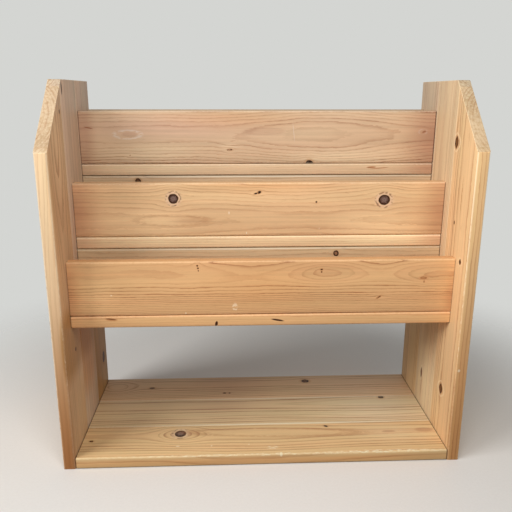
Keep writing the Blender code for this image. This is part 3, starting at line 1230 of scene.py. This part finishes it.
dress("right_side_front_board", UPRIGHT, Cut(
    heart=(-10.0, 46.0),
    ring=4.6,
    contrast=0.5,
    knots=(
        Knot(210.4, 37.0, 6.4, stretch=1.5, kind="ruddy", pointed=True),
        Knot(35.8, -19.5, 3.2, stretch=1.4, kind="black", pointed=True),
        Knot(-191.5, 8.6, 6.2, stretch=1.5, kind="ruddy", pointed=True),
        Knot(89.2, 17.2, 2.0, stretch=1.4, kind="brown"),
    ),
    marks=(
        # On the front edge the pale top is painted light and the darker amber bottom painted shade. Inside, the
        # pale low patch is painted light, the darker bottom painted shade, and the faint pale line on the inner
        # front arris a painted highlight.
        stain((190, FRONT_EDGE, 0), (330, 9, 40), "painted_light", 0.38),
        stain((-300, FRONT_EDGE, 0), (400, 9, 40), "painted_low_shade", 0.15),
        stain((0, FRONT_EDGE, 0), (WHOLE, 6, 60), "amber_and_painted_shade", 0.35),
        stain((-300, FRONT_EDGE, 0), (330, 9, 40), "amber_and_painted_shade", 0.5),
        stain((-235, 32, RIGHT_INNER), (90, 60, 8), "painted_light", 0.3),
        stain((-292, 0, 0), (330, 150, 60), "painted_low_shade", 0.15),
        Mark((-133, -4.5, FRONT_EDGE), (3.0, 2.6, 4), "scuff_and_highlight", 0.6, edge=True),
        stain((236, 39, RIGHT_INNER), (26, 3.0, 6), "russet", 0.5),
        Mark((132, -2, RIGHT_INNER), (45, 2.6, 6), "russet", 0.8, full=0.0, broken=0.3),
        stain((95, 21, RIGHT_INNER), (110, 9, 6), "blush_and_painted_shade", 0.4),
        Mark((120, -43.5, -9.0), (200, 2.6, 2.6), "scuff_and_highlight", 0.1, broken=0.4, full=0.3),
    ),
    arrises=(True, False),
    tone=(1.07, 1.1, 1.08),
    seed=80.0,
))

# %% [markdown]
# The glued edges of the boards behind it were never handled, so only the rearmost arris is rubbed pale and
# carries a painted highlight. A slightly different tone for each board makes the glue lines show, as they do
# on the real side.

# %% Middle and rear boards of the right side
SIDE_TOP = 297

dress("right_side_middle_board", UPRIGHT, Cut(
    heart=(12.0, 44.0),
    ring=4.2,
    contrast=0.42,
    knots=(Knot(-216.3, 17.6, 3.0, stretch=3.2, kind="ruddy", pointed=True), Knot(-60, 30, 3.0)),
    marks=(
        stain((-240, 14, RIGHT_INNER), (42, 4.0, 6), "russet", 0.6),
        # The pale low patch is painted light, and the umber patch above it is painted shade.
        stain((-222, 0, RIGHT_INNER), (95, 90, 8), "painted_light", 0.65),
        stain((-100, 0, RIGHT_INNER), (80, 150, 8), "painted_shade", 0.32),
    ),
    arrises=(False, False),
    tone=(0.93, 1.03, 1.14),
    seed=86.0,
))
dress("right_side_rear_board", UPRIGHT, Cut(
    heart=(-6.0, 42.0),
    ring=4.4,
    contrast=0.42,
    knots=(Knot(-60, 12, 4.0),),
    # A greyer, paler top of the inner face: painted cool light.
    marks=(Mark((SIDE_TOP, 0, RIGHT_INNER), (260, 150, 60), "painted_cool_light", full=0.5),),
    arrises=(False, True),
    tone=(0.93, 0.98, 0.96),
    seed=92.0,
))

# %% [markdown]
# ## The left side
# The left side is the same piece with other boards. Its front edge carries stronger painted light above and
# painted shade below, and a tall flame in the upper part of the inner face comes from one long swell.

# %% Front board of the left side
LEFT_INNER = 9.5

dress("left_side_front_board", UPRIGHT, Cut(
    heart=(2.0, -44.0),
    ring=4.4,
    contrast=0.42,
    swells=(Swell(220, -4, (160, 300), -11.0),),
    knots=(Knot(256, 34, 2.4, stretch=1.3, kind="brown"), Knot(-111.4, 13.0, 3.0, kind="brown")),
    marks=(
        # On the front edge the pale top is painted light and the darker amber bottom painted shade. Inside, the
        # umber patch low down is painted shade under the ledge, the pale patches are painted light, and the
        # pale line on the outer front arris is a painted highlight.
        stain((190, FRONT_EDGE, 0), (330, 9, 40), "painted_light", 0.8),
        stain((-300, FRONT_EDGE, 0), (330, 9, 40), "painted_low_shade", 0.75),
        Mark((-92, 0, LEFT_INNER), (75, 150, 8), "painted_shade", 0.8, full=0.5),
        stain((-230, 34, LEFT_INNER), (130, 72, 8), "painted_light", 0.62),
        stain((150, -20, LEFT_INNER), (150, 44, 8), "blush_and_painted_shade", 0.15),
        stain((118, -40, LEFT_INNER), (200, 44, 8), "amber_and_painted_shade", 0.25),
        stain((205, 12, LEFT_INNER), (110, 60, 8), "painted_light", 0.45),
        Mark((0, -43.5, -9.0), (420, 2.6, 2.6), "scuff_and_highlight", 0.8, broken=0.35, full=0.3),
        stain((-300, FRONT_EDGE, 0), (330, 9, 40), "amber_and_painted_shade", 0.5),
    ),
    arrises=(True, False),
    tone=(0.95, 0.97, 1.04),
    seed=98.0,
))

# %% [markdown]
# Inside, the middle board is paler and the rear one darker, as painted light and painted shade, since less
# light reaches the rear one, and both inner faces carry a cool painted shade. A board has one material for all
# its faces, so these tints reach only part of the way through it, and the outer face stays plain. A pocket of
# pitch near the top and a round knot low down are all else that shows inside.

# %% Middle and rear boards of the left side
INNER_REACH = 21
# A cool tint on the inner faces: painted shade.
COOL_SHADE_INSIDE = Mark((0, 0, LEFT_INNER), (WHOLE, WHOLE, INNER_REACH), "painted_cool_shade", full=0.5)

dress("left_side_middle_board", UPRIGHT, Cut(
    heart=(-10.0, -46.0),
    ring=4.4,
    contrast=0.42,
    knots=(Knot(-30, 8, 4.0),),
    marks=(
        COOL_SHADE_INSIDE,
        Mark((285, -34, LEFT_INNER), (13, 3.5, 8), "pitch", 0.9),
        # The umber and amber patches low down are painted shade under the ledge, and the pale patch is painted
        # light.
        Mark((-97, 0, LEFT_INNER), (75, 150, 8), "painted_shade", 0.6, full=0.5),
        Mark((-135, 0, LEFT_INNER), (110, 150, 8), "amber_and_painted_shade", 0.75, full=0.5),
        stain((-250, -34, LEFT_INNER), (110, 70, 8), "painted_light", 0.35),
    ),
    arrises=(False, False),
    tone=(1.0, 1.05, 1.12),
    seed=104.0,
))
dress("left_side_rear_board", UPRIGHT, Cut(
    heart=(9.0, -42.0),
    ring=4.2,
    contrast=0.42,
    knots=(Knot(-214.9, 15.5, 8.0, stretch=1.4, kind="ruddy"),),
    marks=(
        COOL_SHADE_INSIDE,
        # The umber over the inner face is painted shade, and the pale patches are painted light.
        Mark((-SIDE_TOP, 0, LEFT_INNER), (420, 150, INNER_REACH), "painted_shade", full=0.5),
        stain((-290, 0, LEFT_INNER), (90, 150, 8), "painted_light", 0.7),
        stain((-150, -44, LEFT_INNER), (140, 34, 8), "painted_light", 0.35),
    ),
    arrises=(False, True),
    tone=(1.06, 1.09, 1.16),
    seed=110.0,
))

# %% [markdown]
# ## One screw
# The screws are countersunk and zinc plated. A screw is turned on a lathe, so its body is a half outline spun
# round the axis. All sizes are in mm, with the top of the head at nought.

# %% Turned body
SCREW_OUTLINE = (
    (0.0, 0.0),
    (0.0, 3.6),
    (-0.08, 3.86),
    (-0.22, 3.98),
    (-0.4, 3.98),
    (-2.5, 1.88),
    (-20.0, 1.88),
    (-20.8, 1.32),
    (-45.0, 1.28),
    (-50.9, 0.0),
)
SCREW_STEPS = 24
AXIS = (1.0, 0.0, 0.0)
CENTRE = (0.0, 0.0, 0.0)
MERGE_WITHIN = 0.001


def chain(bm, points, closed):
    """A line of vertices, given by place along the axis and distance from it."""
    verts = [bm.verts.new((along, 0.0, out)) for along, out in points]
    pairs = zip(verts, verts[1:] + verts[:1] if closed else verts[1:])
    return verts + [bm.edges.new(pair) for pair in pairs]


def as_mesh(bm, name):
    """Writes a bmesh to a new mesh and frees it."""
    mesh = bpy.data.meshes.new(name)
    bm.to_mesh(mesh)
    bm.free()
    return mesh


def screw_body():
    """The head, shank and tip as one turned solid."""
    bm = bmesh.new()
    outline = chain(bm, SCREW_OUTLINE, closed=False)
    bmesh.ops.spin(
        bm, geom=outline, axis=AXIS, cent=CENTRE, angle=math.tau, steps=SCREW_STEPS, use_merge=True
    )
    bmesh.ops.remove_doubles(bm, verts=bm.verts, dist=MERGE_WITHIN)
    bmesh.ops.recalc_face_normals(bm, faces=bm.faces)
    return bm


body_mesh = as_mesh(screw_body(), "screw body")
print("screw body:", len(body_mesh.polygons), "faces")

# %% [markdown]
# The thread is a thin ridge that creeps along as it turns. Spin does that when it is also given a small step
# along the axis. It leaves a hole at both ends of the ridge, which is then filled.

# %% Thread
THREAD_START = -21.4
THREAD_PITCH = 2.2
THREAD_TURNS = 10
THREAD_STEPS = 14
THREAD_SECTION = ((0.45, 1.2), (0.0, 1.88), (-0.45, 1.2))


def screw_thread():
    """The ridge of the thread, closed at both ends."""
    bm = bmesh.new()
    section = chain(bm, [(THREAD_START + along, out) for along, out in THREAD_SECTION], closed=True)
    steps = THREAD_TURNS * THREAD_STEPS
    creep = (-THREAD_PITCH / THREAD_STEPS, 0.0, 0.0)
    turn = math.tau * THREAD_TURNS
    bmesh.ops.spin(bm, geom=section, axis=AXIS, cent=CENTRE, dvec=creep, angle=turn, steps=steps)
    bmesh.ops.holes_fill(bm, edges=bm.edges, sides=len(THREAD_SECTION))
    bmesh.ops.recalc_face_normals(bm, faces=bm.faces)
    return bm


thread_mesh = as_mesh(screw_thread(), "screw thread")
print("thread:", len(thread_mesh.polygons), "faces in", THREAD_TURNS, "turns")

# %% [markdown]
# The cross recess is pressed into the head. It narrows as it goes down, so that the driver seats. Two wedges
# at right angles, taken out with a Boolean modifier, cut it cleanly without counting vertices on the head.

# %% Wedges of the cross recess
RECESS_DEPTH = 2.0
RECESS_LENGTH = 4.6
RECESS_WIDTH = 1.05
RECESS_FOOT = 0.42
RECESS_OVER = 0.2


def wedge(name, turn):
    """One arm of the cross, wide at the head's top and narrow at its foot."""
    bm = bmesh.new()
    bmesh.ops.create_cube(bm, size=1.0)
    size = (RECESS_DEPTH + RECESS_OVER, RECESS_WIDTH, RECESS_LENGTH)
    bmesh.ops.scale(bm, vec=size, verts=bm.verts)
    foot = [vert for vert in bm.verts if vert.co.x < 0]
    bmesh.ops.scale(bm, vec=(1.0, RECESS_FOOT, RECESS_FOOT), verts=foot)
    bmesh.ops.translate(bm, vec=((RECESS_OVER - RECESS_DEPTH) / 2, 0, 0), verts=bm.verts)
    bmesh.ops.rotate(bm, cent=CENTRE, matrix=Matrix.Rotation(turn, 3, "X"), verts=bm.verts)
    return added(name, as_mesh(bm, name))


wedges = [wedge("upright wedge", 0.0), wedge("level wedge", math.pi / 2)]
print("wedges:", len(wedges), "of", RECESS_WIDTH, "mm")

# %% [markdown]
# A modifier only changes what is shown, so the cut head is read back as a new mesh. The blank and the wedges
# have done their work then, and leave the scene.

# %% Recessed head
blank = added("screw blank", body_mesh)
for cutter in wedges:
    cut_out = blank.modifiers.new(cutter.name, "BOOLEAN")
    cut_out.operation = "DIFFERENCE"
    cut_out.solver = "EXACT"
    cut_out.object = cutter
recessed_mesh = bpy.data.meshes.new_from_object(blank.evaluated_get(bpy.context.evaluated_depsgraph_get()))
for helper in (blank, *wedges):
    bpy.data.objects.remove(helper)
print("head with its cross recess:", len(recessed_mesh.polygons), "faces")

# %% [markdown]
# Zinc plating is bright where it is new and goes cloudy with handling, so its shine and colour vary in
# patches. An even grey metal would look like plastic on so small a head.

# %% Plated steel
ZINC = srgb(172, 166, 152)
DULL_ZINC = srgb(128, 124, 116)
ZINC_PATCHES_PER_M = 333.0
ZINC_ROUGHNESS, ZINC_CLOUDING = 0.48, 0.3


def scaled(tree, socket, amount):
    """A place in larger or smaller units."""
    node = tree.nodes.new("ShaderNodeVectorMath")
    node.operation = "SCALE"
    node.inputs["Scale"].default_value = amount
    tree.links.new(socket, node.inputs[0])
    return Wire(node.outputs["Vector"])


def plated_steel():
    """Zinc over steel, with cloudy patches."""
    material, tree, shader = new_finish("zinc plated steel")
    texture = tree.nodes.new("ShaderNodeTexCoord")
    cloudy = cloud(scaled(tree, texture.outputs["Object"], ZINC_PATCHES_PER_M), detail=3.0)
    feed(shader.inputs["Base Color"], tint(cloudy + NOISE_MIDDLE, ZINC, DULL_ZINC))
    feed(shader.inputs["Roughness"], ZINC_ROUGHNESS + cloudy * ZINC_CLOUDING)
    shader.inputs["Metallic"].default_value = 1.0
    return material


steel = plated_steel()
print("steel:", len(steel.node_tree.nodes), "nodes")

# %% [markdown]
# ## Forty-two screws
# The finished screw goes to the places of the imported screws. On the left it is turned half round, not
# mirrored, since a mirrored screw would have a thread of the wrong hand. A small turn of its own for each
# head keeps the crosses from lining up, as no one drives two screws to the same angle.

# %% Screws in their places
SMOOTH_BELOW = math.radians(32)
HEAD_TURN = 2.4


def screw_place(node, turn):
    """Where a packed screw has its head, which way it points, and its own turn, for a screw in mm."""
    low, high = (Vector(corner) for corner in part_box(node))
    middle = (low + high) / 2
    right = middle.x > 0
    head = Vector((high.x if right else low.x, middle.y, middle.z))
    facing = Matrix.Identity(4) if right else Matrix.Rotation(math.pi, 4, "Z")
    return Matrix.Translation(head) @ facing @ Matrix.Rotation(turn, 4, "X") @ Matrix.Scale(1 / MM_PER_M, 4)


def place_screw(node, turn):
    """A detailed screw in the place of one packed screw."""
    bm = bmesh.new()
    for mesh in (recessed_mesh, thread_mesh):
        bm.from_mesh(mesh)
    bmesh.ops.transform(bm, matrix=screw_place(node, turn), verts=bm.verts)
    mesh = as_mesh(bm, node + " turned")
    mesh.shade_smooth()
    mesh.set_sharp_from_angle(angle=SMOOTH_BELOW)
    mesh.materials.append(steel)
    piece = added(node + "_turned", mesh)
    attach(piece, "root")
    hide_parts(node)


screw_nodes = [name for name in frame["nodes"] if "_screw_" in name]
for count, node in enumerate(screw_nodes):
    place_screw(node, HEAD_TURN * count)
print("screws placed:", len(screw_nodes))

# %% [markdown]
# ## The studio floor
# The rack stands on a pale floor that keeps its shadow. A square floor would show its rim in other views, so
# it is a wide disc whose material fades to clear long before the rim.

# %% Floor disc
FLOOR_RADIUS = 2.0
FLOOR_CORNERS = 96

bm = bmesh.new()
bmesh.ops.create_circle(bm, cap_ends=True, segments=FLOOR_CORNERS, radius=FLOOR_RADIUS)
floor_mesh = as_mesh(bm, "studio floor")
floor = added("studio_floor", floor_mesh)
print("floor:", FLOOR_RADIUS * 2, "m wide")

# %% [markdown]
# A pale floor would throw a lot of light up under the shelf, more than the floor in the photograph does. The
# Light Path node tells whether the eye sees a place, straight, in a mirror or through glass. To the eye the
# floor is pale, and to the light that bounces from it, it is a middle grey brown.

# %% Floor finish
FLOOR_COLOUR = srgb(238, 235, 230)
FLOOR_SPECKS = srgb(230, 226, 220)
FLOOR_BOUNCE = srgb(130, 118, 108)
FLOOR_FADE = (0.42, 0.95)
FLOOR_ROUGHNESS = 0.7
SPECKS_PER_M = 260.0


def seen_by_eye(tree):
    """One where the eye sees a place, straight, in a mirror or through glass."""
    path = tree.nodes.new("ShaderNodeLightPath")
    straight, mirrored, through = (
        Wire(path.outputs[name]) for name in ("Is Camera Ray", "Is Glossy Ray", "Is Transmission Ray")
    )
    return reckon("MAXIMUM", reckon("MAXIMUM", straight, mirrored), through)


floor_finish, tree, shader = new_finish("pale floor")
shader.inputs["Roughness"].default_value = FLOOR_ROUGHNESS
texture = tree.nodes.new("ShaderNodeTexCoord")
from_middle = tree.nodes.new("ShaderNodeVectorMath")
from_middle.operation = "LENGTH"
tree.links.new(texture.outputs["Object"], from_middle.inputs[0])
speckle = cloud(scaled(tree, texture.outputs["Object"], SPECKS_PER_M), detail=4.0)
pale_floor = tint(speckle + NOISE_MIDDLE, FLOOR_COLOUR, FLOOR_SPECKS)
feed(shader.inputs["Base Color"], tint(seen_by_eye(tree), FLOOR_BOUNCE, pale_floor))
clear = tree.nodes.new("ShaderNodeBsdfTransparent")
fade = tree.nodes.new("ShaderNodeMixShader")
feed(fade.inputs["Fac"], ease(Wire(from_middle.outputs["Value"]), *FLOOR_FADE))
tree.links.new(shader.outputs["BSDF"], fade.inputs[1])
tree.links.new(clear.outputs["BSDF"], fade.inputs[2])
tree.links.new(fade.outputs["Shader"], tree.nodes["Material Output"].inputs["Surface"])
floor_mesh.materials.append(floor_finish)
print("floor fades out from", FLOOR_FADE[0], "to", FLOOR_FADE[1], "m")

# %% [markdown]
# ## Light
# The photograph is lit from the left, as by a window, with less light from the front and a touch from the
# right. Three soft boxes stand for that. Square area lights give soft shadows, and the nearer or larger one
# is, the softer. The side light is small, so that it doesn't shine past the right side onto the left one.

# %% Light
LIGHTS = {
    "window light": {"turn": -60, "rise": 30, "aim": 0.35, "away": 2.3, "size": 1.2, "watts": 34.7},
    "front light": {"turn": 0, "rise": 35, "aim": 0.45, "away": 0.8, "size": 0.4, "watts": 3.9},
    "side light": {"turn": 90, "rise": 2, "aim": 0.2, "away": 2.3, "size": 0.35, "watts": 11.2},
}


def studio_light(name, turn, rise, aim, away, size, watts):
    """A square soft box that looks at the rack, turned from the front to the right and raised, in degrees."""
    side, height = math.radians(turn), math.radians(rise)
    back = Vector((math.sin(side) * math.cos(height), -math.cos(side) * math.cos(height), math.sin(height)))
    lamp = bpy.data.lights.new(name, "AREA")
    lamp.shape = "SQUARE"
    lamp.size = size
    lamp.energy = watts
    holder = added(name, lamp)
    looking = back.to_track_quat("Z", "Y").to_matrix().to_4x4()
    holder.matrix_world = Matrix.Translation(Vector((0, 0, aim)) + back * away) @ looking
    holder.visible_camera = False
    print(name, "at", tuple(round(value, 2) for value in holder.matrix_world.translation))


for name, settings in LIGHTS.items():
    studio_light(name, **settings)

# %% [markdown]
# A little light comes from all round, as from the walls of a room. To the eye the world is the pale wall
# behind the rack. One background node for each, and Light Path again chooses between them. View transform
# Standard shows a colour about as it is written.

# %% World and view
WORLD_LEVEL = 0.23
WHITE = (1.0, 1.0, 1.0, 1.0)
BACKGROUND = srgb(212, 213, 210)

world = bpy.data.worlds.new("studio")
scene.world = world
world.use_nodes = True
tree = world.node_tree
around = tree.nodes["Background"]
around.inputs["Color"].default_value = WHITE
around.inputs["Strength"].default_value = WORLD_LEVEL
wall = tree.nodes.new("ShaderNodeBackground")
wall.inputs["Color"].default_value = BACKGROUND
choose = tree.nodes.new("ShaderNodeMixShader")
feed(choose.inputs["Fac"], seen_by_eye(tree))
tree.links.new(around.outputs["Background"], choose.inputs[1])
tree.links.new(wall.outputs["Background"], choose.inputs[2])
tree.links.new(choose.outputs["Shader"], tree.nodes["World Output"].inputs["Surface"])
scene.view_settings.view_transform = "Standard"
print("world light of", WORLD_LEVEL, "and view", scene.view_settings.view_transform)
